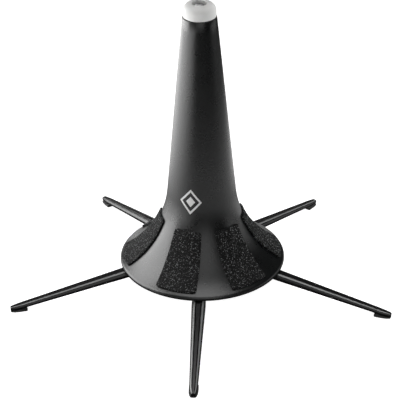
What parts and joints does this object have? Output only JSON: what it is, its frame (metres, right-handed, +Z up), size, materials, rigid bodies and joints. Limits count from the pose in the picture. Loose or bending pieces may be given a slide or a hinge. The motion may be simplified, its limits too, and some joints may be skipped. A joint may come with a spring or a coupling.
{
  "type": "trumpet stand",
  "caption": "Free-standing trumpet stand: a hollow flared cone with felt pads and a white nose cap, on a hub with folding legs that stow inside the cone.",
  "frame": {"origin": "on the floor under the middle of the stand's box; the cone's axis is vertical at x 0, y 0.0108", "axes": "+Z up along the cone's axis, leg 1 points along -Y, +X to the right as seen from leg 1's side"},
  "size_m": [0.2292, 0.218, 0.1857],
  "materials": {
    "cone_plastic": "satin black, faintly mottled",
    "leg_plastic": "black, half gloss",
    "cap_plastic": "white, half gloss",
    "felt": "black needled felt with bright fibres",
    "foot_rubber": "matt black",
    "steel": "zinc plated"
  },
  "bodies": {
    "hub": {"leg_hub": "leg_plastic", "hub_collar": "leg_plastic", "hub_screw_1": "steel", "hub_screw_2": "steel", "hub_screw_3": "steel", "hub_screw_4": "steel", "hub_screw_5": "steel", "hinge_pin_1": "steel", "hinge_pin_2": "steel", "hinge_pin_3": "steel", "hinge_pin_4": "steel", "hinge_pin_5": "steel"},
    "leg_1_body": {"leg_1": "leg_plastic", "foot_1": "foot_rubber"},
    "leg_2_body": {"leg_2": "leg_plastic", "foot_2": "foot_rubber"},
    "leg_3_body": {"leg_3": "leg_plastic", "foot_3": "foot_rubber"},
    "leg_4_body": {"leg_4": "leg_plastic", "foot_4": "foot_rubber"},
    "leg_5_body": {"leg_5": "leg_plastic", "foot_5": "foot_rubber"},
    "cone": {"cone_shell": "cone_plastic", "top_cap": "cap_plastic", "cap_screw": "steel", "cap_washer": "steel", "felt_pad_1": "felt", "felt_pad_2": "felt", "felt_pad_3": "felt", "felt_pad_4": "felt", "felt_pad_5": "felt", "felt_pad_6": "felt"}
  },
  "joints": [
    {"name": "leg_1_fold", "type": "hinge", "parent": "hub", "child": "leg_1_body", "pos_m": [0, -0.00367, 0.0214], "axis": [1, 0, 0], "range_deg": [0, 82]},
    {"name": "leg_2_fold", "type": "hinge", "parent": "hub", "child": "leg_2_body", "pos_m": [0.01379, 0.00635, 0.0214], "axis": [0.309, 0.9511, 0], "range_deg": [0, 82]},
    {"name": "leg_3_fold", "type": "hinge", "parent": "hub", "child": "leg_3_body", "pos_m": [0.00852, 0.02256, 0.0214], "axis": [-0.809, 0.5878, 0], "range_deg": [0, 82]},
    {"name": "leg_4_fold", "type": "hinge", "parent": "hub", "child": "leg_4_body", "pos_m": [-0.00852, 0.02256, 0.0214], "axis": [-0.809, -0.5878, 0], "range_deg": [0, 82]},
    {"name": "leg_5_fold", "type": "hinge", "parent": "hub", "child": "leg_5_body", "pos_m": [-0.01379, 0.00635, 0.0214], "axis": [0.309, -0.9511, 0], "range_deg": [0, 82]},
    {"name": "cone_lift", "type": "slide", "parent": "hub", "child": "cone", "axis": [0, 0, 1], "range_m": [0, 0.04]}
  ]
}
